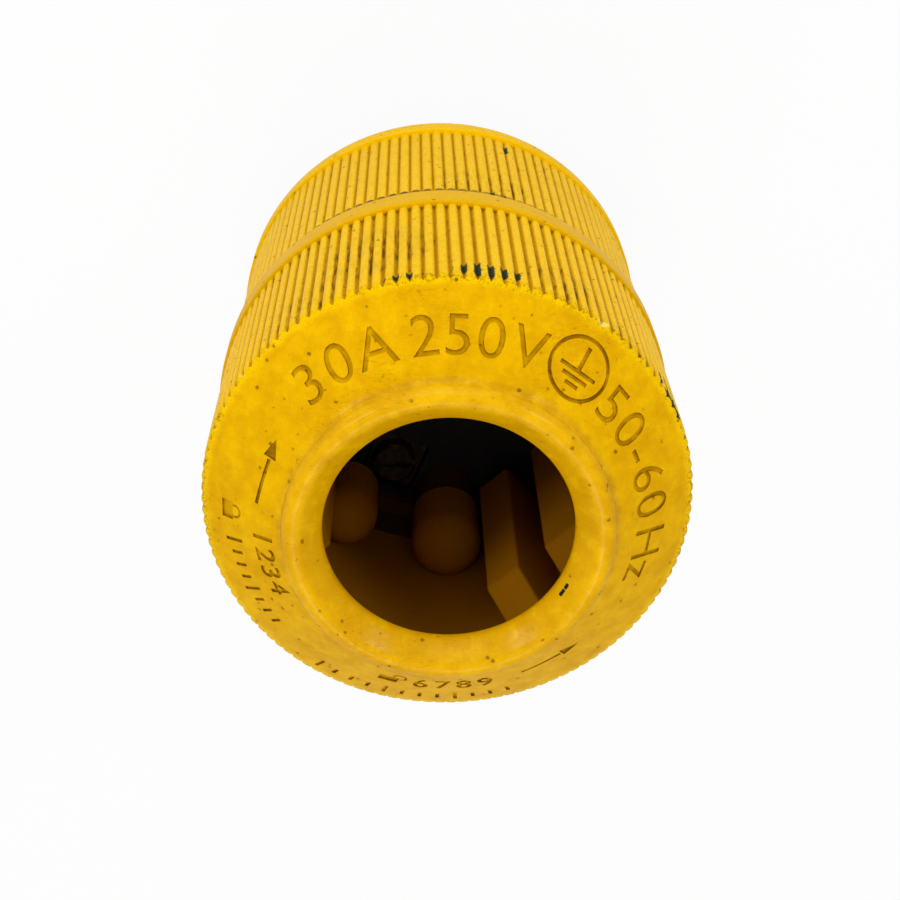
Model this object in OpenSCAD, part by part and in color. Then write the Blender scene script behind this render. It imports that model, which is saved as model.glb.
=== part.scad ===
// Twist-locking power plug: two moulded shells clamped round a contact base by three screws.
// It stands on its blade tips, with Z along the plug towards the end where the cord goes in.

/* [Shells] */
// Radius over the ribs at the cord end's rim
shell_r = 30.5; // [29.5:0.5:34]
// Wall behind the grooves
shell_wall = 3.15; // [2.9:0.05:3.6]
// Length of the front shell, from the blade face to the seam
front_len = 33.9; // [32:0.1:38]
// Length of the rear shell's side, from the seam to the rim
rear_len = 29.4; // [24:0.1:34]
// Length of the spigot that enters the front shell
spigot_len = 6.9; // [5:0.1:8]
// Thickness of the spigot's wall
spigot_wall = 1.4; // [1.1:0.05:1.6]
// How much smaller the front shell's radius is than the rear band's
front_step = 0.65; // [0.4:0.05:0.8]
// Length of the smooth band at the seam
band_len = 4.6; // [3:0.1:7]
// How far the band stands out from the ribs beside it
band_proud = 0.35; // [0.2:0.05:0.5]
// Length of the smooth band at the blade end
end_band_len = 4; // [3:0.1:6]
// How far that band stands out from the front shell's ribs
end_band_proud = 0.35; // [0.2:0.05:0.5]
// Rounding of the front shell's outer edge
end_round = 0.9; // [0.5:0.1:1.5]

/* [Ribs] */
// Ribs round each shell
rib_count = 120; // [96:1:124]
// Depth of the grooves between the ribs
rib_depth = 0.55; // [0.5:0.05:0.7]
// Growth of the rear shell's radius from the rim to the band
rib_draft = 0.15; // [0.05:0.05:0.25]
// Width of the grooves' floors
groove_floor_w = 0.4; // [0.2:0.05:0.5]
// Width of the rear shell's grooves at the ribs' tops
rear_groove_w = 0.85; // [0.6:0.05:0.95]
// Width of the front shell's grooves at the ribs' tops
front_groove_w = 0.75; // [0.6:0.05:0.95]

/* [Cord end] */
// Slope of the cone round the cord hole, in degrees
cone_slope = 35.8; // [28:0.2:40]
// Thickness of the cone's wall
cone_wall = 3.2; // [2.6:0.1:3.8]
// Radius of the cord hole
cord_hole_r = 15.25; // [13:0.25:16]
// Length of the hole's straight wall
throat_len = 1.6; // [1:0.2:3]
// Outer radius of the collar
collar_r = 20.1; // [19.5:0.1:21.5]
// Radius of the collar's rounded top
collar_round = 1.5; // [1:0.1:2]
// Fillet at the collar's foot
collar_fillet = 0.8; // [0.4:0.1:1.2]
// Slope from the collar's top into the hole, in degrees
dish_slope = 45; // [35:1:50]

/* [Inside] */
// Turn of the screw posts about the axis, in degrees
post_turn = 1.6; // [-3:0.2:3]
// Radius of the rear shell's screw posts
rear_post_r = 5.1; // [4.7:0.1:5.4]
// Radius of the front shell's screw posts
front_post_r = 4.7; // [4.3:0.1:5]
// How far the posts' axes lie inside the wall
post_inset = 4.1; // [3.9:0.1:4.6]
// Length of the rear posts below their domes
post_len = 7.4; // [7:0.1:10]
// How far the guide ribs stand in from the wall
guide_reach = 9.7; // [8:0.1:10.2]
// Width of each guide rib
guide_w = 5.6; // [4:0.1:6]
// Slot between the two guide ribs of a pair
guide_slot = 4.4; // [3.5:0.1:5]
// Length of the guide ribs below their slanted ends
guide_len = 28; // [18:1:30]
// Length of the single stop ribs below their slanted ends
stop_len = 4.4; // [3:0.1:8]
// Angle from a screw post to the ribs on each side of it, in degrees
guide_turn = 40; // [39:0.5:46]
// Width of the shoulder that the contact base seats on
shoulder_w = 2.3; // [1.5:0.1:2.8]
// Thickness of that shoulder
shoulder_t = 2; // [1.5:0.1:2.5]

/* [Contacts] */
// Length of the blades in front of the face
blade_out = 18; // [14:0.5:22]
// Distance from the contact base's edge to the blades' circle
blade_inset = 12.35; // [12:0.05:13]
// Angle from a screw post back to the middle of the blade before it, in degrees
blade_turn = 24; // [22:1:60]
// Thickness of a blade
blade_t = 1.6; // [1.2:0.1:1.8]
// Angle that a blade covers, in degrees
blade_arc = 55; // [45:1:60]
// Distance from a blade's tip to its locking notch
notch_from_tip = 6; // [4:0.5:8]
// Height of the locking notch
notch_h = 4.5; // [3:0.5:5]
// Angle that the notch cuts from a blade, in degrees
notch_arc = 13; // [8:1:18]
// Reach of the ground blade's tab towards the axis
ground_tab = 4; // [2:0.5:5]
// Thickness of the contact base
base_t = 16; // [14:0.5:17]
// Thickness of the cover behind the base
cover_t = 3; // [2.5:0.1:3.4]
// Distance from the blades' circle to the terminal screws
terminal_offset = 4.7; // [4.5:0.1:5.2]
// How far a blade's foot reaches past its clamp plate on each side
foot_margin = 1.5; // [1:0.1:1.8]
// Side of a terminal's clamp plate
clamp_side = 7.6; // [7:0.1:8]
// Thickness of a clamp plate
clamp_t = 1.4; // [1:0.1:1.8]
// Side of a terminal's square nut
nut_side = 6.6; // [6:0.1:6.8]
// Thickness of a terminal nut
nut_t = 3.2; // [2.4:0.1:4]
// How far a terminal screw's tip comes out of its nut
tip_out = 1; // [0.5:0.1:2]

/* [Fasteners] */
// Radius of a terminal screw's shank
terminal_screw_r = 1.75; // [1.5:0.05:2]
// Radius of a terminal screw's head
terminal_head_r = 3.3; // [2.8:0.1:3.5]
// Height of a terminal screw's head
terminal_head_h = 2.5; // [1.8:0.1:3]
// Radius of an assembly screw's shank
assembly_screw_r = 2; // [1.75:0.05:2.2]
// Radius of an assembly screw's head
assembly_head_r = 3.3; // [3:0.1:3.6]
// Height of an assembly screw's head
assembly_head_h = 2.6; // [2:0.1:3]
// Depth of the hole that an assembly screw's head lies in
counterbore_depth = 4.5; // [3.5:0.1:6]
// Outer radius of a threaded insert
insert_r = 3; // [2.8:0.1:3.2]
// Length of a threaded insert
insert_len = 6.4; // [5:0.1:6.6]
// Width of a screw's driver slot
driver_slot_w = 0.9; // [0.6:0.1:1.2]

/* [Clearances] */
// Gap round the contact base and round the spigot
fit_clear = 0.15; // [0.05:0.05:0.25]
// Gap round a blade, a nut or a clamp plate in its recess
seat_clear = 0.1; // [0.05:0.05:0.15]
// Gap round a screw in a plain hole
hole_clear = 0.2; // [0.1:0.05:0.3]
// Gap between a screw and its thread, and round an insert
thread_clear = 0.02; // [0.01:0.01:0.04]
// Depth that a blind hole has beyond what it holds
blind_clear = 0.5; // [0.3:0.1:1]
// Gap round a clamp plate in its window in the cover
window_clear = 0.5; // [0.3:0.1:0.8]

/* [Hidden] */
$fn = 96;

// How far a cut runs past the face that it opens
past = 1;
// Each screw's driver slot stands at its own angle, a multiple of the screw's place
terminal_slot_turn = 1.7;
assembly_slot_turn = 1.3;
// Share of a clamp plate's side between its screw and each of its wire grooves
groove_share = 0.37;
// Places of the three screw posts and of the three blades
post_angles = [for (turn = [90, 210, 330]) turn + post_turn];
line_angle = post_angles[0] - blade_turn;
neutral_angle = post_angles[1] - blade_turn;
ground_angle = post_angles[2] - blade_turn;

// Heights, from the blade tips up
face_z = blade_out;
base_top = face_z + base_t;
cover_top = base_top + cover_t;
shoulder_top = cover_top + shoulder_t;
seam_z = face_z + front_len;
spigot_z = seam_z - spigot_len;
socket_z = spigot_z - seat_clear;
band_top = seam_z + band_len;
end_band_top = face_z + end_band_len;
rim_z = seam_z + rear_len;

// Radii of the shells
crest_r = shell_r + rib_draft;
band_r = crest_r + band_proud;
front_r = band_r - front_step;
end_band_r = front_r + end_band_proud;
cavity_r = shell_r - rib_depth - shell_wall;
spigot_r = cavity_r + spigot_wall;
socket_r = spigot_r + fit_clear;
base_r = cavity_r - fit_clear;
post_circle_r = cavity_r - post_inset;
guide_face = cavity_r - guide_reach;

// The collar: its foot stands on the cone, and its top runs down into the hole
fillet_r = collar_r + collar_fillet;
fillet_z = cone_z(fillet_r) + collar_fillet / cos(cone_slope);
round_r = collar_r - collar_round;
crown_z = fillet_z + collar_round;
lip_z = fillet_z + collar_round * cos(dish_slope)
    - (round_r - collar_round * sin(dish_slope) - cord_hole_r) * tan(dish_slope);
under_z = lip_z - throat_len;
cone_drop = cone_wall / cos(cone_slope);
cone_inner_r = shell_r - (under_z + cone_drop - rim_z) / tan(cone_slope);

// The terminals: a nut under the blade's foot, a clamp plate and a screw head above it
foot_bottom = base_top - blade_t;
blade_circle_r = base_r - blade_inset;
terminal_circle_r = blade_circle_r + terminal_offset;
foot_w = clamp_side + 2 * foot_margin;
foot_end = terminal_circle_r + clamp_side / 2 + seat_clear;
nut_bottom = foot_bottom - nut_t;
clamp_top = base_top + clamp_t;
terminal_tip = nut_bottom - tip_out;
blade_in_r = blade_circle_r - blade_t / 2;
blade_out_r = blade_circle_r + blade_t / 2;
head_seat = face_z + counterbore_depth;
insert_top = spigot_z + insert_len;

shell_yellow = [0.93, 0.70, 0.05];
phenolic_black = [0.08, 0.08, 0.08];
blade_brass = [0.80, 0.62, 0.28];
screw_steel = [0.68, 0.69, 0.70];
ground_green = [0.12, 0.42, 0.20];

// Height of the cone's outer face at radius r
function cone_z(r) = rim_z + (shell_r - r) * tan(cone_slope);

// Points of an arc round (r, z), from one angle to another
function arc(r, z, radius, from, to, steps = 8) =
    [for (i = [0:steps]) let (a = from + (to - from) * i / steps) [r + radius * cos(a), z + radius * sin(a)]];

// Moves children out along X by r, then turns them to an angle
module placed(angle, r) {
    rotate(angle) translate([r, 0, 0]) children();
}

// Places children on every screw post's axis
module at_posts() {
    for (angle = post_angles) placed(angle, post_circle_r) children();
}

// A round hole or shaft between two heights
module shaft(radius, from, to) {
    translate([0, 0, from]) cylinder(r = radius, h = to - from);
}

// A box centred on its X axis, between two heights
module bar(x0, x1, width, from, to) {
    translate([x0, -width / 2, from]) cube([x1 - x0, width, to - from]);
}

// A ribbed wall. The ribs run on past their tops, and are turned down to them.
module ribbed_wall(radius, groove_w, from, to) {
    over = rib_draft + past / 10;
    floor_r = radius - rib_depth;
    top_r = radius + over;
    spread = (groove_w - groove_floor_w) * (rib_depth + over) / rib_depth;
    half_floor = groove_floor_w / 2 / floor_r * 180 / PI;
    half_top = (groove_floor_w + spread) / 2 / top_r * 180 / PI;
    corners = [[-half_top, top_r], [-half_floor, floor_r], [half_floor, floor_r], [half_top, top_r]];
    translate([0, 0, from])
        linear_extrude(to - from)
            polygon([for (i = [0:rib_count - 1], c = corners)
                let (a = i * 360 / rib_count + c[0]) c[1] * [cos(a), sin(a)]]);
}

// Outer form of the rear shell, turned: spigot, band, ribbed side, cone and collar
module rear_form() {
    edge = band_proud / 2;
    rotate_extrude()
        polygon(concat(
            [[0, spigot_z], [spigot_r - edge, spigot_z], [spigot_r, spigot_z + edge], [spigot_r, seam_z]],
            [[band_r - edge, seam_z], [band_r, seam_z + edge], [band_r, band_top - edge]],
            [[band_r - edge, band_top], [crest_r, band_top], [shell_r, rim_z]],
            arc(fillet_r, fillet_z, collar_fillet, 270 - cone_slope, 180, 4),
            arc(round_r, fillet_z, collar_round, 0, 90 + dish_slope, 10),
            [[cord_hole_r, lip_z], [0, lip_z]]
        ));
}

// Space inside the rear shell, turned: the cavity, the cone and the cord hole
module rear_space() {
    rotate_extrude()
        polygon([
            [0, spigot_z - past], [cavity_r, spigot_z - past], [cavity_r, cone_z(cavity_r) - cone_drop],
            [cone_inner_r, under_z], [cord_hole_r, under_z], [cord_hole_r, crown_z + past],
            [0, crown_z + past],
        ]);
}

// A rib on the inner wall, square at the seam and slanted off at the cord end
module inner_rib(offset, len) {
    far = cavity_r + past;
    slant_z = spigot_z + len;
    translate([0, offset + guide_w / 2, 0])
        rotate([90, 0, 0])
            linear_extrude(guide_w)
                polygon([
                    [guide_face, spigot_z - past], [far, spigot_z - past],
                    [far, slant_z + far - guide_face], [guide_face, slant_z],
                ]);
}

module rear_shell() {
    color(shell_yellow)
        difference() {
            intersection() {
                union() {
                    ribbed_wall(shell_r, rear_groove_w, band_top, crown_z + past);
                    shaft(band_r + past, spigot_z - past, band_top);
                }
                rear_form();
            }
            difference() {
                rear_space();
                at_posts() {
                    shaft(rear_post_r, spigot_z - past, spigot_z + post_len);
                    translate([0, 0, spigot_z + post_len]) sphere(r = rear_post_r);
                }
                for (angle = post_angles) {
                    for (side = [-1, 1])
                        rotate(angle + guide_turn) inner_rib(side * (guide_slot + guide_w) / 2, guide_len);
                    rotate(angle - guide_turn) inner_rib(0, stop_len);
                }
            }
            at_posts() shaft(insert_r + thread_clear, spigot_z - past, insert_top + blind_clear);
        }
}

// Outer form of the front shell, turned, with its rounded end
module front_form() {
    rotate_extrude()
        polygon(concat(
            [[0, face_z]],
            arc(end_band_r - end_round, face_z + end_round, end_round, -90, 0),
            [[end_band_r, end_band_top], [front_r, end_band_top], [front_r, seam_z], [0, seam_z]]
        ));
}

// The front shell: its wiring space is opened first, then the posts are added, and the pocket
// for the base and the socket for the spigot are bored last, so both end in one flat face
module front_shell() {
    color(shell_yellow)
        difference() {
            union() {
                difference() {
                    intersection() {
                        union() {
                            shaft(end_band_r + past, face_z - past, end_band_top);
                            ribbed_wall(front_r, front_groove_w, end_band_top, seam_z + past);
                        }
                        front_form();
                    }
                    shaft(cavity_r - shoulder_w, cover_top - past, shoulder_top + past);
                    shaft(cavity_r, shoulder_top, socket_z + past);
                }
                at_posts() shaft(front_post_r, cover_top - past, socket_z + past);
            }
            shaft(cavity_r, face_z - past, cover_top);
            shaft(socket_r, socket_z, seam_z + past);
            at_posts() shaft(assembly_screw_r + hole_clear, cover_top - past, socket_z + past);
        }
}

// Room for a blade: its slot through the base and the recess for its foot
module blade_room() {
    play = seat_clear / blade_circle_r * 180 / PI;
    rotate([0, 0, -blade_arc / 2 - play])
        rotate_extrude(angle = blade_arc + 2 * play)
            translate([blade_in_r - seat_clear, face_z - past])
                square([blade_t + 2 * seat_clear, base_t + 2 * past]);
    bar(blade_circle_r, foot_end + seat_clear, foot_w + 2 * seat_clear, foot_bottom, base_top + past);
}

// Room for a terminal's nut and for the tip of its screw
module nut_room() {
    side = nut_side + 2 * seat_clear;
    bar(terminal_circle_r - side / 2, terminal_circle_r + side / 2, side, nut_bottom - seat_clear, base_top);
    translate([terminal_circle_r, 0, 0])
        shaft(terminal_screw_r + hole_clear, terminal_tip - blind_clear, base_top);
}

module blade_base() {
    color(phenolic_black)
        difference() {
            shaft(base_r, face_z, base_top);
            for (angle = [line_angle, neutral_angle, ground_angle])
                rotate(angle) {
                    blade_room();
                    nut_room();
                }
            at_posts() {
                shaft(assembly_head_r + hole_clear, face_z - past, head_seat);
                shaft(assembly_screw_r + hole_clear, face_z - past, base_top + past);
            }
        }
}

// The cover holds the blades' feet down, with a window round each terminal
module base_cover() {
    window = clamp_side + 2 * window_clear;
    color(phenolic_black)
        difference() {
            shaft(base_r, base_top, cover_top);
            for (angle = [line_angle, neutral_angle, ground_angle])
                placed(angle, terminal_circle_r)
                    bar(-window / 2, window / 2, window, base_top - past, cover_top + past);
            at_posts() shaft(assembly_screw_r + hole_clear, base_top - past, cover_top + past);
        }
}

// A curved blade with bevelled tips, a locking notch and a foot for its terminal
module blade() {
    bevel = blade_t / 3;
    difference() {
        union() {
            rotate([0, 0, -blade_arc / 2])
                rotate_extrude(angle = blade_arc)
                    polygon([
                        [blade_in_r + bevel, 0], [blade_out_r - bevel, 0], [blade_out_r, 2 * bevel],
                        [blade_out_r, base_top], [blade_in_r, base_top], [blade_in_r, 2 * bevel],
                    ]);
            bar(blade_circle_r, foot_end, foot_w, foot_bottom, base_top);
        }
        rotate([0, 0, blade_arc / 2 - notch_arc])
            rotate_extrude(angle = notch_arc + past)
                translate([blade_in_r - past, notch_from_tip])
                    square([blade_t + 2 * past, notch_h]);
        translate([terminal_circle_r, 0, 0])
            shaft(terminal_screw_r + hole_clear, foot_bottom - past, base_top + past);
    }
}

module line_blade() {
    color(blade_brass) rotate(line_angle) blade();
}

module neutral_blade() {
    color(blade_brass) rotate(neutral_angle) blade();
}

// The ground blade has a tab bent towards the axis along its plain edge
module ground_blade() {
    color(blade_brass)
        rotate(ground_angle) {
            blade();
            rotate(-blade_arc / 2)
                translate([blade_in_r - ground_tab, 0, 0])
                    cube([ground_tab + blade_t / 2, blade_t, face_z - 2 * seat_clear]);
        }
}

// A clamp plate, grooved underneath for the strands of a wire on each side of its screw
module clamp(angle) {
    groove_r = clamp_t / 2;
    color(blade_brass)
        placed(angle, terminal_circle_r)
            difference() {
                bar(-clamp_side / 2, clamp_side / 2, clamp_side, base_top, clamp_top);
                shaft(terminal_screw_r + hole_clear, base_top - past, clamp_top + past);
                for (side = [-1, 1])
                    translate([0, side * clamp_side * groove_share, base_top])
                        rotate([0, 90, 0])
                            cylinder(r = groove_r, h = clamp_side + past, center = true);
            }
}

module nut(angle) {
    color(screw_steel)
        placed(angle, terminal_circle_r)
            difference() {
                bar(-nut_side / 2, nut_side / 2, nut_side, nut_bottom, foot_bottom);
                shaft(terminal_screw_r + thread_clear, nut_bottom - past, foot_bottom + past);
            }
}

// A cheese-head screw pointing down: its head, seated at a height, has a driver slot
module slotted_screw(shank_r, head_r, head_h, seat, tip) {
    slot_depth = head_h / 2;
    edge = head_h / 6;
    difference() {
        rotate_extrude()
            polygon([
                [0, tip], [shank_r - edge, tip], [shank_r, tip + edge], [shank_r, seat], [head_r, seat],
                [head_r, seat + head_h - edge], [head_r - edge, seat + head_h], [0, seat + head_h],
            ]);
        bar(-head_r - past, head_r + past, driver_slot_w, seat + head_h - slot_depth, seat + head_h + past);
    }
}

module terminal_screw(angle, finish) {
    color(finish)
        placed(angle, terminal_circle_r)
            rotate(angle * terminal_slot_turn)
                slotted_screw(terminal_screw_r, terminal_head_r, terminal_head_h, clamp_top, terminal_tip);
}

module insert(angle) {
    color(blade_brass)
        placed(angle, post_circle_r)
            difference() {
                shaft(insert_r, spigot_z, insert_top);
                shaft(assembly_screw_r + thread_clear, spigot_z - past, insert_top + past);
            }
}

// An assembly screw, turned over: its head lies in the base and its tip ends in the insert
module assembly_screw(angle) {
    color(screw_steel)
        placed(angle, post_circle_r)
            rotate([180, 0, angle * assembly_slot_turn])
                slotted_screw(assembly_screw_r, assembly_head_r, assembly_head_h, -head_seat, -insert_top);
}

rear_shell();
front_shell();
blade_base();
base_cover();
line_blade();
neutral_blade();
ground_blade();
clamp(line_angle);  // line_clamp
clamp(neutral_angle);  // neutral_clamp
clamp(ground_angle);  // ground_clamp
nut(line_angle);  // line_nut
nut(neutral_angle);  // neutral_nut
nut(ground_angle);  // ground_nut
terminal_screw(line_angle, screw_steel);  // line_screw
terminal_screw(neutral_angle, screw_steel);  // neutral_screw
terminal_screw(ground_angle, ground_green);  // ground_screw
insert(post_angles[0]);  // insert_a
insert(post_angles[1]);  // insert_b
insert(post_angles[2]);  // insert_c
assembly_screw(post_angles[0]);  // assembly_screw_a
assembly_screw(post_angles[1]);  // assembly_screw_b
assembly_screw(post_angles[2]);  // assembly_screw_c
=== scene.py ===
import math
import bpy
import numpy as np
from mathutils import Matrix, Vector


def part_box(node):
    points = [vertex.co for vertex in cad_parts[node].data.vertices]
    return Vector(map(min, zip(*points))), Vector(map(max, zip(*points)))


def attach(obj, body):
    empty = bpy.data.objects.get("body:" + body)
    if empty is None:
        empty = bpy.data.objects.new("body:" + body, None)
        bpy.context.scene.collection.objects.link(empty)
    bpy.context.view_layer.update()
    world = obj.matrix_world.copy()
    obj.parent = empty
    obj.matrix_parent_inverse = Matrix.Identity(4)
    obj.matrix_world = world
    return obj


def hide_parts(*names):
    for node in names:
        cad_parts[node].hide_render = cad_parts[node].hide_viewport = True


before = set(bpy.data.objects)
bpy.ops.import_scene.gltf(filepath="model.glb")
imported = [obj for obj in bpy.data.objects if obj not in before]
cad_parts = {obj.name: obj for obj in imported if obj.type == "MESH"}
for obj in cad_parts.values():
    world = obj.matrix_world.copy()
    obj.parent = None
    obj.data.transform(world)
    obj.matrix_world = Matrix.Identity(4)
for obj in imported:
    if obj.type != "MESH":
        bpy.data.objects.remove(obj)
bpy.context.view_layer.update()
mm = 0.001

# heights and radii that the pieces share, in millimetres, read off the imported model
rearLow, rearHigh = [[v / mm for v in corner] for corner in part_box("rear_shell")]
frontLow, frontHigh = [[v / mm for v in corner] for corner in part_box("front_shell")]
bandRadius = rearHigh[0]
endBandRadius = frontHigh[0]
spigotHeight = rearLow[2]
seamHeight = frontHigh[2]
faceHeight = frontLow[2]
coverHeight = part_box("base_cover")[1][2] / mm

rear = {
    "bandLength": 4.6, "bandProud": 0.35, "bandRound": 0.35, "bandBreak": 0.25,
    "sideLength": 29.4, "draft": 0.15, "rimBreak": 0.35,
    "spigotRadius": 28.2, "spigotBreak": 0.3, "cavityRadius": 26.8,
    "coneSlope": 35.8, "coneInset": 0.25, "coneWall": 3.2,
    "holeRadius": 15.25, "throat": 0.9, "lipRise": 6.68, "lipRound": 0.35,
    "collarRadius": 20.1, "collarRound": 1.5, "collarFillet": 0.8, "dishSlope": 45.0,
    "postRadius": 5.1, "postLength": 7.4, "stopRadius": 4.6, "insertGap": 0.02,
    "guideFace": 17.1, "guideWidth": 5.6, "guideSlot": 4.4, "guideLength": 28.0,
    "guideTurn": 40.0, "guideRound": 0.45, "guideRoot": 0.6,
}
posts = {"angles": (91.6, 211.6, 331.6), "circle": 22.7}
crestRadius = bandRadius - rear["bandProud"]
rimRadius = crestRadius - rear["draft"]
coneRadius = rimRadius - rear["coneInset"]
bandTop = seamHeight + rear["bandLength"]
rimHeight = seamHeight + rear["sideLength"]
lipHeight = rimHeight + rear["lipRise"]
slope = math.radians(rear["coneSlope"])
creaseAngle = 38  # edges sharper than this stay crisp


def coneHeight(radius):  # the height of the cone's surface
    return rimHeight + (rimRadius - radius) * math.tan(slope)


# working with the selection
def deselectAll():
    if bpy.context.object and bpy.context.object.mode != "OBJECT":
        bpy.ops.object.mode_set(mode="OBJECT")
    bpy.ops.object.select_all(action="DESELECT")


def pick(piece):
    deselectAll()
    piece.select_set(True)
    bpy.context.view_layer.objects.active = piece


def selectPoints(piece, test):  # test gets the radius, angle in degrees and height of all points
    bpy.ops.object.mode_set(mode="OBJECT")
    mesh = piece.data
    co = np.empty(len(mesh.vertices) * 3)
    mesh.vertices.foreach_get("co", co)
    co = co.reshape(-1, 3) / mm
    radius = np.hypot(co[:, 0], co[:, 1])
    angle = np.degrees(np.arctan2(co[:, 1], co[:, 0])) % 360
    chosen = test(radius, angle, co[:, 2])
    mesh.edges.foreach_set("select", np.zeros(len(mesh.edges), bool))
    mesh.polygons.foreach_set("select", np.zeros(len(mesh.polygons), bool))
    mesh.vertices.foreach_set("select", chosen)
    bpy.ops.object.mode_set(mode="EDIT")
    bpy.ops.mesh.select_mode(type="VERT")


def settle(piece):  # moves a finished piece's place into its mesh
    pick(piece)
    bpy.ops.object.transform_apply(location=True, rotation=True, scale=True)


def lathe(name, profile, steps):  # draws a closed profile point by point and spins it
    deselectAll()
    x, z = profile[0]
    bpy.ops.mesh.primitive_plane_add(size=mm, location=(x * mm, 0, z * mm))
    piece = bpy.context.object
    piece.name = name
    settle(piece)
    bpy.ops.object.mode_set(mode="EDIT")
    bpy.ops.mesh.merge(type="CENTER")
    for last, here in zip(profile, profile[1:] + profile[:1]):
        step = ((here[0] - last[0]) * mm, 0, (here[1] - last[1]) * mm)
        bpy.ops.mesh.extrude_vertices_move(TRANSFORM_OT_translate={"value": step})
    bpy.ops.mesh.select_all(action="SELECT")
    bpy.ops.mesh.spin(steps=steps, angle=2 * math.pi, center=(0, 0, 0), axis=(0, 0, 1))
    bpy.ops.mesh.select_all(action="SELECT")
    bpy.ops.mesh.remove_doubles(threshold=0.002 * mm)
    bpy.ops.mesh.normals_make_consistent(inside=False)
    bpy.ops.object.mode_set(mode="OBJECT")
    return piece


def arc(x, z, radius, start, end, steps):  # points on a round edge, from one angle to another
    angles = [math.radians(start + (end - start) * i / steps) for i in range(steps + 1)]
    return [(x + radius * math.cos(a), z + radius * math.sin(a)) for a in angles]


def between(start, end, steps):  # the points inside a straight stretch
    return [(start[0] + (end[0] - start[0]) * i / steps, start[1] + (end[1] - start[1]) * i / steps)
            for i in range(1, steps)]


def boolean(target, tool, operation):
    pick(target)
    modifier = target.modifiers.new("cut", "BOOLEAN")
    modifier.operation = operation
    modifier.object = tool
    modifier.solver = "MANIFOLD"
    before = len(target.data.polygons)
    bpy.ops.object.modifier_apply(modifier="cut")
    print("  ", operation.lower(), tool.name, before, "->", len(target.data.polygons))
    bpy.data.objects.remove(tool)


def joinAll(pieces, name):
    deselectAll()
    for piece in pieces:
        piece.select_set(True)
    bpy.context.view_layer.objects.active = pieces[0]
    bpy.ops.object.join()
    pieces[0].name = name
    return pieces[0]


def smooth(piece, angle):
    pick(piece)
    bpy.ops.object.shade_smooth_by_angle(angle=math.radians(angle))


# the ribbed sides: the mesh has eight columns of points to each rib, and the shapes say how deep
# each column is pushed in, as a share of the full depth
ribs = {
    "count": 120, "columns": 8, "depth": 0.55, "runOut": 0.25,
    "rearShape": {0: 1.0, 1: 0.62, 2: 0.17, 3: 0.035},
    "frontShape": {0: 0.85, 1: 0.45, 2: 0.12, 3: 0.025},
}


def cutGrooves(piece, shape, low, high, rim=False):
    pitch = 360 / (ribs["count"] * ribs["columns"])
    apex = (rimHeight + rimRadius * math.tan(slope)) * mm
    for column, share in shape.items():
        depth = ribs["depth"] * share

        def inColumn(angle):
            place = np.rint(angle / pitch) % ribs["columns"]
            return (place == column) | (place == ribs["columns"] - column)

        selectPoints(piece, lambda r, a, z: inColumn(a) & (z > low) & (z < high)
                     & (r > rimRadius - 0.3) & (r < crestRadius + 0.02))
        factor = 1 - depth / crestRadius
        bpy.ops.transform.resize(value=(factor, factor, 1), center_override=(0, 0, 0))
        if rim and depth > ribs["runOut"]:  # the groove runs out through the cone along the cone's own slope
            selectPoints(piece, lambda r, a, z: inColumn(a) & (abs(r - coneRadius) < 0.01) & (z > rimHeight))
            factor = (rimRadius - depth) / coneRadius
            bpy.ops.transform.resize(value=(factor, factor, factor), center_override=(0, 0, apex))
    bpy.ops.object.mode_set(mode="OBJECT")


def onCircle(angle, height):  # a place on the circle of the screw posts
    circle, turn = posts["circle"], math.radians(angle)
    return (circle * math.cos(turn) * mm, circle * math.sin(turn) * mm, height * mm)


def post(radius, angle, low, high, domed):
    deselectAll()
    bpy.ops.mesh.primitive_uv_sphere_add(segments=64, ring_count=32, radius=radius * mm,
                                         location=onCircle(angle, high))
    piece = bpy.context.object
    settle(piece)
    selectPoints(piece, lambda r, a, z: z < high - 0.001)
    bpy.ops.transform.translate(value=(0, 0, (low - high) * mm))
    bpy.ops.mesh.select_all(action="SELECT")
    bpy.ops.mesh.bisect(plane_co=(0, 0, low * mm), plane_no=(0, 0, 1), use_fill=True, clear_inner=True)
    if not domed:
        bpy.ops.mesh.select_all(action="SELECT")
        bpy.ops.mesh.bisect(plane_co=(0, 0, high * mm), plane_no=(0, 0, 1), use_fill=True, clear_outer=True)
    bpy.ops.object.mode_set(mode="OBJECT")
    return piece


def rod(radius, angle, low, high):
    deselectAll()
    bpy.ops.mesh.primitive_cylinder_add(vertices=48, radius=radius * mm, depth=(high - low) * mm,
                                        location=onCircle(angle, (high + low) / 2))
    piece = bpy.context.object
    settle(piece)
    return piece


def innerRib(angle, offset, length):  # square at the spigot's rim and slanted off at the cord end
    far = rear["cavityRadius"] + rear["guideRoot"]
    reach = far - rear["guideFace"]
    low, high = spigotHeight, spigotHeight + length + reach
    deselectAll()
    bpy.ops.mesh.primitive_cube_add(size=1)
    piece = bpy.context.object
    piece.scale = (reach * mm, rear["guideWidth"] * mm, (high - low) * mm)
    piece.location = ((far + rear["guideFace"]) / 2 * mm, offset * mm, (low + high) / 2 * mm)
    settle(piece)
    selectPoints(piece, lambda r, a, z: (z > high - 1) & (r < far - 4))
    bpy.ops.transform.translate(value=(0, 0, -reach * mm))
    bpy.ops.object.mode_set(mode="OBJECT")
    bevel = piece.modifiers.new("soft", "BEVEL")
    bevel.width = rear["guideRound"] * mm
    bevel.segments = 3
    bpy.ops.object.modifier_apply(modifier="soft")
    piece.rotation_euler = (0, 0, math.radians(angle))
    settle(piece)
    return piece


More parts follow.
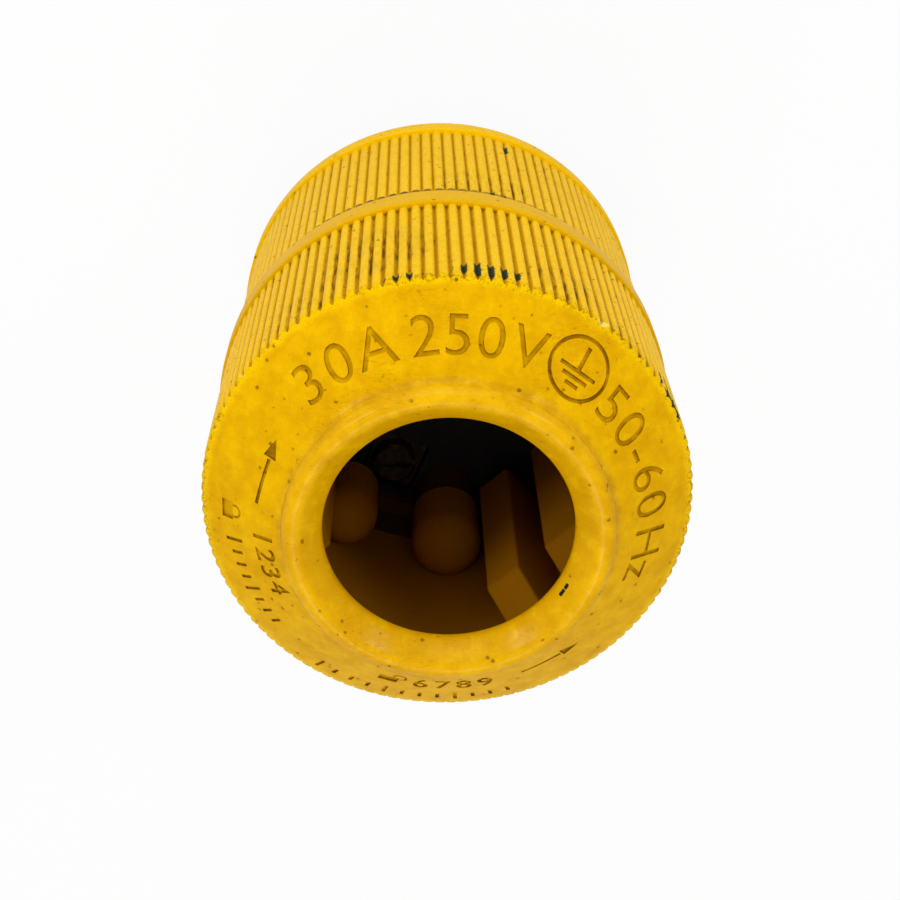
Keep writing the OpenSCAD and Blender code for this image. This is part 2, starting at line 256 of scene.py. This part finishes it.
# round the wall: from the spigot's rim over the band and the cone to the hole, and back inside
def rearProfile(cavityTop, drop):
    filletX = rear["collarRadius"] + rear["collarFillet"]
    filletZ = coneHeight(filletX) + rear["collarFillet"] / math.cos(slope)
    roundX = rear["collarRadius"] - rear["collarRound"]
    hole, dish, spigot = rear["holeRadius"], rear["dishSlope"], rear["spigotRadius"]
    bandRound, bandBreak, rimBreak = rear["bandRound"], rear["bandBreak"], rear["rimBreak"]
    lipRound, spigotBreak = rear["lipRound"], rear["spigotBreak"]
    bead = arc(roundX, filletZ, rear["collarRound"], 0, 90 + dish, 12)
    lip = (hole, bead[-1][1] - (bead[-1][0] - hole) * math.tan(math.radians(dish)))
    under = lip[1] - rear["throat"]
    innerCone = rimRadius - (under + drop - rimHeight) / math.tan(slope)
    coneStart = (coneRadius, coneHeight(coneRadius))
    fillet = arc(filletX, filletZ, rear["collarFillet"], 270 - rear["coneSlope"], 180, 5)
    cavity = cavityTop[0]
    return (
        [(spigot - spigotBreak, spigotHeight), (spigot, spigotHeight + spigotBreak), (spigot, seamHeight)]
        + arc(bandRadius - bandRound, seamHeight + bandRound, bandRound, -90, 0, 3)
        + between((bandRadius, seamHeight + bandRound), (bandRadius, bandTop - bandBreak), 3)
        + arc(bandRadius - bandBreak, bandTop - bandBreak, bandBreak, 0, 90, 3)
        + [(crestRadius, bandTop + 0.02)]
        + between((crestRadius, bandTop), (rimRadius, rimHeight - rimBreak), 6)
        + [(rimRadius, rimHeight - rimBreak), (rimRadius - 0.06, rimHeight - 0.08), coneStart]
        + between(coneStart, fillet[0], 12) + fillet + bead
        + between(bead[-1], (lip[0] + lipRound, lip[1] + lipRound), 3)
        + [(lip[0] + lipRound, lip[1] + lipRound), (lip[0] + 0.1, lip[1] + 0.02), (lip[0], lip[1] - lipRound)]
        + [(hole, under + 0.3), (hole + 0.3, under), (innerCone, under)]
        + between((innerCone, under), cavityTop, 3)
        + [(cavityTop[0] - 0.6, cavityTop[1] + 0.43), (cavityTop[0], cavityTop[1] - 0.8)]
        + between(cavityTop, (cavity, spigotHeight), 5)
        + [(cavity, spigotHeight + spigotBreak), (cavity + spigotBreak, spigotHeight)]
    )


def rearShell():
    print("rear shell")
    cavity = rear["cavityRadius"]
    drop = rear["coneWall"] / math.cos(slope)
    cavityTop = (cavity, coneHeight(cavity) - drop)
    shell = lathe("rear_shell_moulding", rearProfile(cavityTop, drop), ribs["count"] * ribs["columns"])
    cutGrooves(shell, ribs["rearShape"], bandTop, rimHeight, rim=True)

    wall, floor, top = cavity + 0.5, spigotHeight - 1, cavityTop[1] + 0.5  # a little into the walls
    tip = top + cavity * math.tan(slope)
    inside = lathe("core", [(0.001, floor), (wall, floor), (wall, top), (0.001, tip)], 180)
    step, turn = (rear["guideSlot"] + rear["guideWidth"]) / 2, rear["guideTurn"]
    guides = joinAll([innerRib(angle + turn, side * step, rear["guideLength"])
                      for angle in posts["angles"] for side in (-1, 1)], "guides")
    boolean(guides, inside, "INTERSECT")
    boolean(shell, guides, "UNION")
    for angle in posts["angles"]:
        for place, radius in ((angle, rear["postRadius"]), (angle - turn, rear["stopRadius"])):
            domed = post(radius, place, spigotHeight, spigotHeight + rear["postLength"], True)
            boolean(shell, domed, "UNION")
    low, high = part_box("insert_a")
    bore = (high[0] - low[0]) / 2 / mm + rear["insertGap"]
    for angle in posts["angles"]:
        boolean(shell, rod(bore, angle, spigotHeight - 1, high[2] / mm + 0.5), "DIFFERENCE")
    return shell


front = {
    "endBand": 4.0, "endProud": 0.35, "endRound": 0.9, "endBreak": 0.2, "cavityRadius": 26.8,
    "shoulderRadius": 24.5, "shoulder": 2.0, "socketRadius": 28.35, "socketGap": 0.1,
    "postRadius": 4.7, "screwHole": 2.2,
}
frontRadius = endBandRadius - front["endProud"]


def frontShell():
    print("front shell")
    cavity, socket, outer = front["cavityRadius"], front["socketRadius"], frontRadius
    endRound, endBreak, shoulder = front["endRound"], front["endBreak"], front["shoulderRadius"]
    shoulderTop = coverHeight + front["shoulder"]
    socketHeight = spigotHeight - front["socketGap"]
    ribLow = faceHeight + front["endBand"]
    profile = (
        [(cavity + 0.2, faceHeight)]
        + arc(endBandRadius - endRound, faceHeight + endRound, endRound, -90, 0, 8)
        + arc(endBandRadius - endBreak, ribLow - endBreak, endBreak, 0, 90, 3)
        + [(outer, ribLow + 0.02)] + between((outer, ribLow), (outer, seamHeight), 6)
        + [(outer, seamHeight - 0.15), (outer - 0.15, seamHeight)]
        + [(socket + 0.1, seamHeight), (socket, seamHeight - 0.1)]
        + [(socket, socketHeight), (cavity, socketHeight), (cavity, shoulderTop)]
        + [(shoulder, shoulderTop), (shoulder, coverHeight)]
        + [(cavity, coverHeight), (cavity, faceHeight + 0.2)]
    )
    shell = lathe("front_shell_moulding", profile, ribs["count"] * ribs["columns"])
    cutGrooves(shell, ribs["frontShape"], ribLow, seamHeight + 1)
    for angle in posts["angles"]:
        stub = post(front["postRadius"], angle, coverHeight + 0.001, socketHeight - 0.001, False)
        boolean(shell, stub, "UNION")
    for angle in posts["angles"]:
        boolean(shell, rod(front["screwHole"], angle, coverHeight - 1, socketHeight + 1), "DIFFERENCE")
    return shell


# marks sunk in the cone, each at an angle round it and a radius from the axis
marks = {
    "depth": 0.36, "cutter": 1.2, "stroke": 0.5,
    "large": 5.1, "thicken": -0.12, "circle": 24.5,
    "left": {"3": -48.5, "0": -58.5, "A": -69.5, "2": -83, "5": -92, "0 ": -101, "V": -111.5},
    "right": {"5": -140.5, "0": -149.5, "-": -157.5, "6": -165.5, "0 ": -174.5, "H": -187, "z": -196.5},
    "small": 3.0, "smallThicken": -0.01,
    "figures": (("1234", 3.5, 6.3, 22.7), ("6789", 82, 6.6, 24.3)),  # first angle, step and radius
    "scales": ((7, 4, 8, 26.5), (54, 4.8, 12, 27.9)),  # first angle, step, count and radius
    "tick": 1.4, "longTick": 2.3,
    "padlocks": ((-2, 26.4, False), (72, 23.8, True)),  # angle, radius and whether it is open
    "arrows": ((-17.5, 23.1, -90, 7.6), (122, 24.0, 90, 7.0)),  # angle, radius, turn and length
    "arrowWidth": 1.9, "arrowHead": 2.6,
    "earthAngle": -126.5, "earthRadius": 25.2, "earthSize": 3.8, "earthRing": 0.62, "earthStem": 0.55,
    "earthBars": ((0.62, -0.1), (0.42, -0.34), (0.2, -0.58)),  # half length and height, as shares of the size
}


# a frame on the cone: X runs clockwise as seen from the cord end, Y down the cone, Z out of it
def conePlace(angle, radius, turn=0.0):
    a = math.radians(angle)
    outward = Vector((math.cos(a), math.sin(a), 0))
    tangent = Vector((math.sin(a), -math.cos(a), 0))
    axis = Vector((0, 0, 1))
    down = outward * math.cos(slope) - axis * math.sin(slope)
    normal = outward * math.sin(slope) + axis * math.cos(slope)
    origin = (outward * radius + Vector((0, 0, coneHeight(radius)))) * mm
    basis = Matrix((tangent, down, normal)).transposed().to_4x4()
    basis.translation = origin
    return basis @ Matrix.Rotation(math.radians(turn), 4, "Z")


def cutterText(letters, size, thicken):
    deselectAll()
    bpy.ops.object.text_add()
    text = bpy.context.object
    text.data.body = letters
    text.data.size = size * 1.4 * mm  # capitals are about 0.7 of this
    text.data.align_x = "CENTER"
    text.data.align_y = "CENTER"
    text.data.extrude = 0.5 * mm  # with the bevel, half the cutter
    text.data.offset = thicken * mm
    text.data.bevel_depth = 0.1 * mm
    text.data.bevel_resolution = 1
    text.data.resolution_u = 5
    bpy.ops.object.convert(target="MESH")
    piece = bpy.context.object
    bpy.ops.object.mode_set(mode="EDIT")
    bpy.ops.mesh.select_all(action="SELECT")
    bpy.ops.mesh.remove_doubles(threshold=0.001 * mm)
    bpy.ops.mesh.normals_make_consistent(inside=False)
    bpy.ops.object.mode_set(mode="OBJECT")
    return piece


def bar(x0, y0, x1, y1, width):  # a straight stroke between two places in a mark's own frame
    deselectAll()
    length = math.hypot(x1 - x0, y1 - y0)
    bpy.ops.mesh.primitive_cube_add(size=1)
    piece = bpy.context.object
    piece.scale = ((length + width * 0.6) * mm, width * mm, marks["cutter"] * mm)
    piece.rotation_euler = (0, 0, math.atan2(y1 - y0, x1 - x0))
    piece.location = ((x0 + x1) / 2 * mm, (y0 + y1) / 2 * mm, 0)
    settle(piece)
    return piece


def ring(radius, width, x=0.0, y=0.0):
    deselectAll()
    bpy.ops.mesh.primitive_torus_add(major_radius=radius * mm, minor_radius=width / 2 * mm, major_segments=64,
                                     minor_segments=8, location=(x * mm, y * mm, 0))
    piece = bpy.context.object
    piece.scale = (1, 1, 2.2)  # deep enough for the marks
    settle(piece)
    return piece


def put(piece, place):  # sets a cutter on the cone, sunk by the depth of the marks
    sink = Matrix.Translation((0, 0, (marks["cutter"] / 2 - marks["depth"]) * mm))
    piece.matrix_world = place @ sink @ piece.matrix_world
    settle(piece)
    return piece


def prism(width, length):  # an arrow's head, pointing along Y
    deselectAll()
    bpy.ops.mesh.primitive_cone_add(vertices=3, radius1=mm, radius2=mm, depth=marks["cutter"] * mm)
    piece = bpy.context.object
    piece.scale = (width / 1.73, length / 1.5, 1)  # a triangle of radius 1 is 1.73 wide and 1.5 long
    settle(piece)
    return piece


def arrow(angle, radius, turn, length):  # points along its own Y
    place = conePlace(angle, radius, turn)
    head = prism(marks["arrowWidth"], marks["arrowHead"])
    head.location = (0, (length / 2 - 0.4) * mm, 0)
    settle(head)
    shaft = bar(0, -length / 2, 0, length / 2 - 1.6, marks["stroke"])
    return put(shaft, place), put(head, place)


def padlock(angle, radius, opened):  # a stubby body, and a shackle that stands aside when open
    place = conePlace(angle, radius, 180)
    body = bar(-0.75, -0.7, 0.75, -0.7, 1.7)
    shackle = ring(0.8, 0.42, 1.3 if opened else 0, 0.45)
    return put(body, place), put(shackle, place)


def sinkMarks(shell):
    print("marks")
    first, second, third = [], [], []  # cutters of one batch don't touch each other
    for side in ("left", "right"):
        for letter, angle in marks[side].items():
            cutter = cutterText(letter.strip(), marks["large"], marks["thicken"])
            first.append(put(cutter, conePlace(angle, marks["circle"])))
    for letters, start, step, radius in marks["figures"]:
        for i, letter in enumerate(letters):
            cutter = cutterText(letter, marks["small"], marks["smallThicken"])
            first.append(put(cutter, conePlace(start + step * i, radius, 180)))
    for start, step, count, radius in marks["scales"]:
        for i in range(count):
            half = (marks["longTick"] if i % 4 == 0 else marks["tick"]) / 2
            first.append(put(bar(0, -half, 0, half, marks["stroke"]), conePlace(start + step * i, radius)))
    for angle, radius, opened in marks["padlocks"]:
        body, shackle = padlock(angle, radius, opened)
        first.append(body)
        second.append(shackle)
    for angle, radius, turn, length in marks["arrows"]:
        shaft, head = arrow(angle, radius, turn, length)
        first.append(shaft)
        second.append(head)
    earth = conePlace(marks["earthAngle"], marks["earthRadius"])
    size = marks["earthSize"]
    first.append(put(ring(size, marks["earthRing"]), earth))
    for reach, y in marks["earthBars"]:
        second.append(put(bar(-reach * size, y * size, reach * size, y * size, marks["stroke"]), earth))
    third.append(put(bar(0, size * 0.7, 0, -0.1 * size, marks["earthStem"]), earth))
    for i, batch in enumerate((first, second, third)):
        boolean(shell, joinAll(batch, "marks_%d" % i), "DIFFERENCE")


rearPiece = rearShell()
sinkMarks(rearPiece)
smooth(rearPiece, creaseAngle)
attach(rearPiece, "root")
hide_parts("rear_shell")

frontPiece = frontShell()
smooth(frontPiece, creaseAngle)
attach(frontPiece, "root")
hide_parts("front_shell")


# materials
class Value:  # a socket with the sums that are used on it
    def __init__(self, build, socket):
        self.build, self.socket = build, socket

    def sum(self, operation, *others):
        return self.build.maths(operation, self, *others)

    def __add__(self, other): return self.sum("ADD", other)
    def __radd__(self, other): return self.sum("ADD", other)
    def __sub__(self, other): return self.sum("SUBTRACT", other)
    def __rsub__(self, other): return self.build.maths("SUBTRACT", other, self)
    def __mul__(self, other): return self.sum("MULTIPLY", other)
    def __rmul__(self, other): return self.sum("MULTIPLY", other)
    def __abs__(self): return self.sum("ABSOLUTE")

    def ramp(self, low, high):  # 0 below low, 1 above high, smooth between
        return self.build.node("ShaderNodeMapRange", {"interpolation_type": "SMOOTHSTEP"},
                               {"Value": self, "From Min": low, "From Max": high})


class Finish:  # one material and the nodes in it
    def __init__(self, name, colour, **fixed):
        self.material = bpy.data.materials.new(name)
        self.material.use_nodes = True
        self.material.diffuse_color = (*colour, 1)
        self.tree = self.material.node_tree
        self.shader = self.tree.nodes["Principled BSDF"]
        self.shader.inputs["Base Color"].default_value = (*colour, 1)
        for socket, value in fixed.items():
            self.shader.inputs[socket.replace("_", " ")].default_value = value
        coordinates = self.node("ShaderNodeTexCoord", {}, {}, "Object")
        self.place = self.vector("SCALE", {0: coordinates, "Scale": 1 / mm})  # in millimetres
        self.x = self.node("ShaderNodeSeparateXYZ", {}, {0: self.place}, "X")
        self.y = self.node("ShaderNodeSeparateXYZ", {}, {0: self.place}, "Y")
        self.z = self.node("ShaderNodeSeparateXYZ", {}, {0: self.place}, "Z")

    def node(self, kind, settings, values, output=0):
        made = self.tree.nodes.new(kind)
        for key, setting in settings.items():
            setattr(made, key, setting)
        for key, value in (values.items() if isinstance(values, dict) else enumerate(values)):
            if isinstance(value, Value):
                self.tree.links.new(value.socket, made.inputs[key])
            else:
                made.inputs[key].default_value = value
        return Value(self, made.outputs[output])

    def maths(self, operation, *values):
        return self.node("ShaderNodeMath", {"operation": operation}, values)

    def vector(self, operation, values, output=0):
        return self.node("ShaderNodeVectorMath", {"operation": operation}, values, output)

    def noise(self, scale, detail=3.0, rough=0.55, place=None):
        return self.node("ShaderNodeTexNoise", {}, {"Vector": place or self.place, "Scale": scale,
                                                    "Detail": detail, "Roughness": rough})

    def cells(self, scale):
        return self.node("ShaderNodeTexVoronoi", {}, {"Vector": self.place, "Scale": scale}, "Distance")

    def mix(self, factor, first, second):
        def colour(value):
            return value if isinstance(value, Value) else (*value, 1)
        values = {0: factor, 6: colour(first), 7: colour(second)}  # 6, 7 and 2 are the colour sockets
        return self.node("ShaderNodeMix", {"data_type": "RGBA"}, values, 2)

    def stains(self, spots, ragged):  # 1 at the middle of each spot, 0 outside, with a ragged edge
        cover = None
        edge = self.noise(0.8, 4.0, 0.7) * ragged
        for angle, radius, height, reach, tall in spots:
            a = math.radians(angle)
            centre = (radius * math.cos(a), radius * math.sin(a), height)
            away = self.vector("SUBTRACT", {0: self.place, 1: centre})
            away = self.vector("MULTIPLY", {0: away, 1: (1 / reach, 1 / reach, 1 / tall)})
            far = self.vector("LENGTH", {0: away}, "Value")
            here = (far + edge - ragged * 0.5).ramp(1.0, 0.6)
            cover = here if cover is None else cover.sum("MAXIMUM", here)
        return cover

    def stretch(self, x, y, z):
        return self.vector("MULTIPLY", {0: self.place, 1: (x, y, z)})

    def bump(self, height, strength, distance):
        values = {"Strength": strength, "Distance": distance * mm, "Height": height}
        self.feed("Normal", self.node("ShaderNodeBump", {}, values, "Normal"))

    def feed(self, socket, value):
        self.tree.links.new(value.socket, self.shader.inputs[socket])


# groove is painted shade for the rib grooves, inside is painted shade for the inside, edge is a painted
# highlight; grime is dirt and also painted shade round the sunk marks; dark is dirt in the nicks, and painted
# shadow and shade at the seam and deep inside
tones = {
    "cone": (0.80, 0.435, 0.0006), "fresh": (0.90, 0.54, 0.001), "dull": (0.64, 0.31, 0.0008),
    "rib": (0.95, 0.58, 0.0008), "groove": (0.47, 0.23, 0.0004), "grime": (0.17, 0.078, 0.0008),
    "smudge": (0.030, 0.040, 0.022), "chip": (0.95, 0.70, 0.16), "inside": (0.40, 0.155, 0.002),
    "edge": (0.42, 0.19, 0.01), "dark": (0.012, 0.010, 0.008),
}
# stains by angle, radius and height, with their reach along the surface and along the axis
smudges = ((-98.5, 30.3, 78.9, 5.0, 2.3), (-153, 30.3, 79.0, 4.0, 4.5), (-164, 30.4, 77.0, 3.0, 5.0),
           (-103.5, 30.2, 49.6, 2.0, 1.6), (-108, 30.2, 26.0, 1.4, 2.0), (-79, 30.3, 80.3, 2.4, 0.9))
grimes = ((-72, 30.3, 70.0, 9.0, 9.0), (-118, 30.3, 76.0, 6.0, 6.0), (-55, 30.3, 77.0, 7.0, 5.0),
          (-100, 30.2, 45.0, 8.0, 6.0), (-135, 30.3, 79.5, 8.0, 2.5), (-24.6, 23.3, 86.5, 1.2, 1.2))
nicks = tuple((148.5 + step * 0.8, 16.1, 88.9, 0.24, 0.6) for step in (0, 1, 2, 3, 5, 6, 7))
chips = ((-126.4, 30.3, 81.2, 1.1, 0.6), (-36, 30.4, 81.2, 0.8, 0.4))


def yellowNylon(name, grooveDepth):
    finish = Finish(name, tones["cone"], Roughness=0.4, IOR=1.13, Specular_Tint=(1, 0.8, 0.1, 1),
                    Coat_Roughness=0.2)
    z = finish.z
    radius = (finish.x * finish.x + finish.y * finish.y).sum("SQRT")
    depth = grooveDepth(finish, radius)
    patches = finish.noise(0.09, 4.0)
    cloud = finish.noise(0.45, 5.0, 0.65)
    fine = finish.noise(2.4, 4.0, 0.65)
    grain = finish.noise(7.0, 2.0, 0.5)
    streaks = finish.noise(1.0, 3.0, 0.6, finish.stretch(2.2, 2.2, 0.28))

    # the bare nylon: patchy on the cone, more even on the ribbed side
    side = radius.ramp(29.2, 30.0)
    uneven = 1 - side * 0.7
    colour = finish.mix(patches.ramp(0.40, 0.62) * 0.4, tones["cone"], tones["dull"])
    colour = finish.mix(side, colour, tones["rib"])
    # darker towards the hole, over the dish
    colour = finish.mix(radius.ramp(18.2, 15.4) * 0.5, colour, tones["dull"])
    colour = finish.mix(cloud.ramp(0.47, 0.64) * uneven * 0.5, colour, tones["dull"])
    colour = finish.mix(cloud.ramp(0.48, 0.34) * uneven * 0.5, colour, tones["fresh"])
    colour = finish.mix(grain.ramp(0.48, 0.66) * (side * 0.3 + 0.35), colour, tones["dull"])

    # painted shade in the rib grooves, dirt and painted shade round the sunk marks, darker where the grooves
    # end at the band, and a painted shadow under the band's edge along the seam
    groove = depth.ramp(0.10, 0.42) * side
    walls = depth.ramp(0.02, 0.10) * (depth.ramp(0.35, 0.24) * 0.6 + 0.4) * (1 - side)
    # the groove tone is painted shade in the rib grooves
    colour = finish.mix(groove * (fine.ramp(0.3, 0.65) * 0.35 + 0.6), colour, tones["groove"])
    # dirt and painted shade on the walls of the sunk marks, in the grime tone
    colour = finish.mix(walls * (cloud.ramp(0.35, 0.6) * 0.45 + 0.42), colour, tones["grime"])
    # darker where the grooves end against the band
    pocket = groove * z.ramp(bandTop + 1.5, bandTop + 0.1) * z.ramp(bandTop - 0.1, bandTop)
    colour = finish.mix(pocket * 0.85, colour, tones["grime"])
    band = side * z.ramp(bandTop + 0.3, bandTop) * z.ramp(seamHeight, seamHeight + 0.1)
    colour = finish.mix(band * 0.45, colour, tones["dull"])
    # painted shadow on the front shell under the band's edge, stronger towards +X
    seam = z.ramp(seamHeight - 2.8, seamHeight - 2.4) * z.ramp(seamHeight + 0.3, seamHeight + 0.1)
    seam = seam * radius.ramp(28.5, 28.8)
    colour = finish.mix(seam * (finish.x.ramp(-12, 8) * 0.35 + 0.5), colour, tones["dark"])

    # loose dirt: stains, streaks in the grooves, specks, the cone's rim and the collar's foot
    grime = (groove * 0.9 + 0.12) * finish.stains(grimes, 0.5) * streaks.ramp(0.42, 0.62)
    grime = grime + groove * streaks.ramp(0.60, 0.72) * 0.8
    specks = (finish.cells(0.55) + fine * 0.3).ramp(0.33, 0.24) * cloud.ramp(0.46, 0.55)
    specks = specks + (finish.cells(1.5) + fine * 0.3).ramp(0.30, 0.20) * patches.ramp(0.5, 0.6) * 0.7
    rim = abs(z - rimHeight).ramp(0.9, 0.3) * radius.ramp(29.2, 29.8)
    rim = rim * fine.ramp(0.50, 0.60) * patches.ramp(0.38, 0.55)
    foot = abs(radius - rear["collarRadius"] - 0.3).ramp(0.5, 0.1)
    foot = foot * z.ramp(lipHeight - 1.5, lipHeight - 1.0) * z.ramp(lipHeight + 2.02, lipHeight + 1.42)
    grime = grime + specks * 0.75 + rim * 0.5 + foot * cloud.ramp(0.4, 0.6) * 0.14
    colour = finish.mix(grime.sum("MINIMUM", 1.0), colour, tones["grime"])
    inGrooves = (depth.ramp(0.02, 0.22) + fine.ramp(0.5, 0.62) * 0.4).sum("MINIMUM", 1.0)
    smudge = finish.stains(smudges, 0.9) * inGrooves
    colour = finish.mix(smudge.ramp(0.25, 0.55), colour, tones["smudge"])
    chip = finish.stains(chips, 0.8)
    colour = finish.mix(chip * fine.ramp(0.4, 0.55), colour, tones["chip"])

    # painted shade on the inside, nearly black below the spigot, and a painted highlight where the spigot's
    # rim catches a little light
    rimEdge = z.ramp(spigotHeight + 0.9, spigotHeight + 0.1) * z.ramp(spigotHeight - 0.1, spigotHeight)
    inner = finish.mix(rimEdge, tones["inside"], tones["edge"])
    # painted shade: nearly black below the spigot, deep in the front shell
    inner = finish.mix(z.ramp(spigotHeight - 0.01, spigotHeight - 0.1) * 0.75, inner, tones["dark"])
    colour = finish.mix(insideMask(finish, radius), colour, inner)

    lines = finish.noise(1.0, 2.0, 0.5, finish.stretch(0.25, 2.2, 0.6))
    scratch = abs(lines - 0.5).ramp(0.010, 0.0) * patches.ramp(0.45, 0.6)
    colour = finish.mix(scratch * (1 - side) * 0.45, colour, tones["grime"])
    colour = finish.mix(finish.stains(nicks, 0.3), colour, tones["dark"])
    finish.feed("Base Color", colour)

    finish.feed("Roughness", cloud * 0.2 + fine * 0.12 + groove * 0.2 + 0.24)
    collar = radius.ramp(21.0, 20.4) * radius.ramp(15.3, 16.2) * z.ramp(lipHeight - 0.2, lipHeight + 0.2)
    finish.feed("Coat Weight", collar * (0.25 - cloud * 0.25))
    rings = finish.node("ShaderNodeCombineXYZ", {}, {0: radius * 2.6, 1: z * 2.6})
    turned = finish.noise(1.0, 2.0, 0.5, rings)
    height = cloud * 0.6 + fine * 0.3 + grain * 0.08 + turned * collar * 0.5
    finish.bump(height - scratch * 0.25 - specks * 0.3 - chip * 0.8, 0.4, 0.09)
    return finish.material


def belowCone(finish, radius):  # how far a place is under the cone's surface, along the axis
    return rimHeight + (rimRadius - radius) * math.tan(slope) - finish.z


def insideMask(finish, radius):  # the surfaces behind the lip
    behind = radius.ramp(27.4, 27.1) * belowCone(finish, radius).ramp(1.5, 2.2)
    return behind * finish.z.ramp(lipHeight - 0.1, lipHeight - 1.8)


def rearDepth(finish, radius):
    side = (crestRadius + (finish.z - bandTop) * (-rear["draft"] / (rimHeight - bandTop))) - radius
    onSide = finish.z.ramp(bandTop, bandTop + 0.02) * finish.z.ramp(rimHeight + 0.3, rimHeight)
    sunk = belowCone(finish, radius) * math.cos(slope)
    onCone = finish.z.ramp(rimHeight, rimHeight + 0.3) * radius.ramp(20.6, 20.9)
    return side * onSide + sunk * onCone


def frontDepth(finish, radius):
    ribLow = faceHeight + front["endBand"]
    return (frontRadius - radius) * finish.z.ramp(ribLow - 0.1, ribLow + 0.1)


def plainFinish(name, colour, dark, roughness, grain, metal):
    finish = Finish(name, colour, Metallic=metal)
    cloud = finish.noise(grain, 4.0, 0.6)
    finish.feed("Base Color", finish.mix(cloud.ramp(0.35, 0.75), colour, dark))
    finish.feed("Roughness", cloud * 0.25 + roughness)
    finish.bump(finish.noise(grain * 6, 3.0), 0.2, 0.03)
    return finish.material


def dress(piece, material):
    piece.data.materials.clear()
    piece.data.materials.append(material)


print("materials")
dress(rearPiece, yellowNylon("yellow nylon, rear", rearDepth))
dress(frontPiece, yellowNylon("yellow nylon, front", frontDepth))
finishes = {  # colour, dark colour, roughness, grain and metal
    "black phenolic": ((0.010, 0.010, 0.011), (0.022, 0.020, 0.016), 0.45, 0.4, 0.0),
    "dull brass": ((0.60, 0.42, 0.16), (0.30, 0.19, 0.07), 0.25, 0.5, 1.0),
    "plated steel": ((0.55, 0.54, 0.52), (0.32, 0.29, 0.25), 0.25, 0.7, 1.0),
    # the clamps, inserts and terminal screws sit inside: their brass and steel are tarnished and darkened
    # further as painted shade
    "tarnished brass with painted shade": ((0.16, 0.09, 0.04), (0.04, 0.028, 0.018), 0.45, 0.5, 0.8),
    "tarnished steel with painted shade": ((0.17, 0.14, 0.12), (0.04, 0.034, 0.03), 0.3, 0.6, 1.0),
    "green plating": ((0.04, 0.20, 0.07), (0.02, 0.09, 0.03), 0.3, 0.7, 0.6),
}
made = {name: plainFinish(name, *values) for name, values in finishes.items()}
for node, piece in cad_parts.items():
    if node in ("blade_base", "base_cover"):
        dress(piece, made["black phenolic"])
    elif "clamp" in node or node.startswith("insert"):
        dress(piece, made["tarnished brass with painted shade"])
    elif "blade" in node:
        dress(piece, made["dull brass"])
    elif node in ("line_screw", "neutral_screw"):
        dress(piece, made["tarnished steel with painted shade"])
    elif node == "ground_screw":
        dress(piece, made["green plating"])
    elif not node.endswith("shell"):
        dress(piece, made["plated steel"])


# floor, light and camera
studio = {
    "floorSize": 6, "floorTone": 0.8, "floorRoughness": 0.9, "floorGlow": 0.93, "worldLight": 0.56,
    "lens": 60.7, "sensor": 36, "clipStart": 0.005, "camera": (0.0044, -0.0933, 0.245),
    "right": (-0.9997, -0.011, 0.0222), "up": (0, -0.886, -0.4637),
    "aim": (0, 0, 0.06),
    "lights": (  # name, place, size and power
        ("keyLight", (0.03, -0.46, 0.26), 0.34, 0.75),
        ("rightLight", (-0.30, -0.24, 0.38), 0.10, 0.36),
        ("leftLight", (0.30, -0.24, 0.38), 0.10, 0.40),
        ("backLight", (0.06, 0.24, 0.46), 0.20, 0.62),
    ),
}


def paleFloor():
    deselectAll()
    bpy.ops.mesh.primitive_plane_add(size=studio["floorSize"], location=(0, 0, 0))
    floor = bpy.context.object
    floor.name = "floor"
    pale = bpy.data.materials.new("pale floor")
    pale.use_nodes = True
    tree = pale.node_tree
    shader = tree.nodes["Principled BSDF"]
    tone = studio["floorTone"]
    shader.inputs["Base Color"].default_value = (tone, tone, tone, 1)
    shader.inputs["Roughness"].default_value = studio["floorRoughness"]
    path = tree.nodes.new("ShaderNodeLightPath")
    glow = tree.nodes.new("ShaderNodeEmission")
    seen = tree.nodes.new("ShaderNodeMath")  # nearly white to the camera, and keeps the shadow
    seen.operation = "MULTIPLY"
    seen.inputs[1].default_value = studio["floorGlow"]
    mix = tree.nodes.new("ShaderNodeMixShader")
    tree.links.new(path.outputs["Is Camera Ray"], seen.inputs[0])
    tree.links.new(seen.outputs[0], mix.inputs[0])
    tree.links.new(shader.outputs[0], mix.inputs[1])
    tree.links.new(glow.outputs[0], mix.inputs[2])
    tree.links.new(mix.outputs[0], tree.nodes["Material Output"].inputs[0])
    floor.data.materials.append(pale)


def softLight():
    world = bpy.data.worlds.new("studio")
    bpy.context.scene.world = world
    world.use_nodes = True
    tree = world.node_tree
    back = tree.nodes["Background"]
    path = tree.nodes.new("ShaderNodeLightPath")
    strength = tree.nodes.new("ShaderNodeMapRange")
    strength.inputs["To Min"].default_value = studio["worldLight"]
    strength.inputs["To Max"].default_value = 1.0
    tree.links.new(path.outputs["Is Camera Ray"], strength.inputs[0])
    tree.links.new(strength.outputs[0], back.inputs["Strength"])
    back.inputs["Color"].default_value = (1, 1, 1, 1)

    for name, place, size, power in studio["lights"]:
        bpy.ops.object.light_add(type="AREA", location=place)
        lamp = bpy.context.object
        lamp.name = name
        lamp.data.size = size
        lamp.data.energy = power
        lamp.rotation_euler = (Vector(studio["aim"]) - Vector(place)).to_track_quat("-Z", "Y").to_euler()


def aimCamera():
    camera = bpy.data.cameras.new("camera")
    camera.lens = studio["lens"]
    camera.sensor_width = studio["sensor"]
    camera.clip_start = studio["clipStart"]
    holder = bpy.data.objects.new("camera", camera)
    bpy.context.scene.collection.objects.link(holder)
    right, up = Vector(studio["right"]), Vector(studio["up"])
    back = right.cross(up).normalized()
    up = back.cross(right).normalized()
    turn = Matrix((right.normalized(), up, back)).transposed().to_4x4()
    turn.translation = Vector(studio["camera"])
    holder.matrix_world = turn
    bpy.context.scene.camera = holder
    bpy.context.scene.view_settings.view_transform = "Standard"


print("stage")
paleFloor()
softLight()
aimCamera()
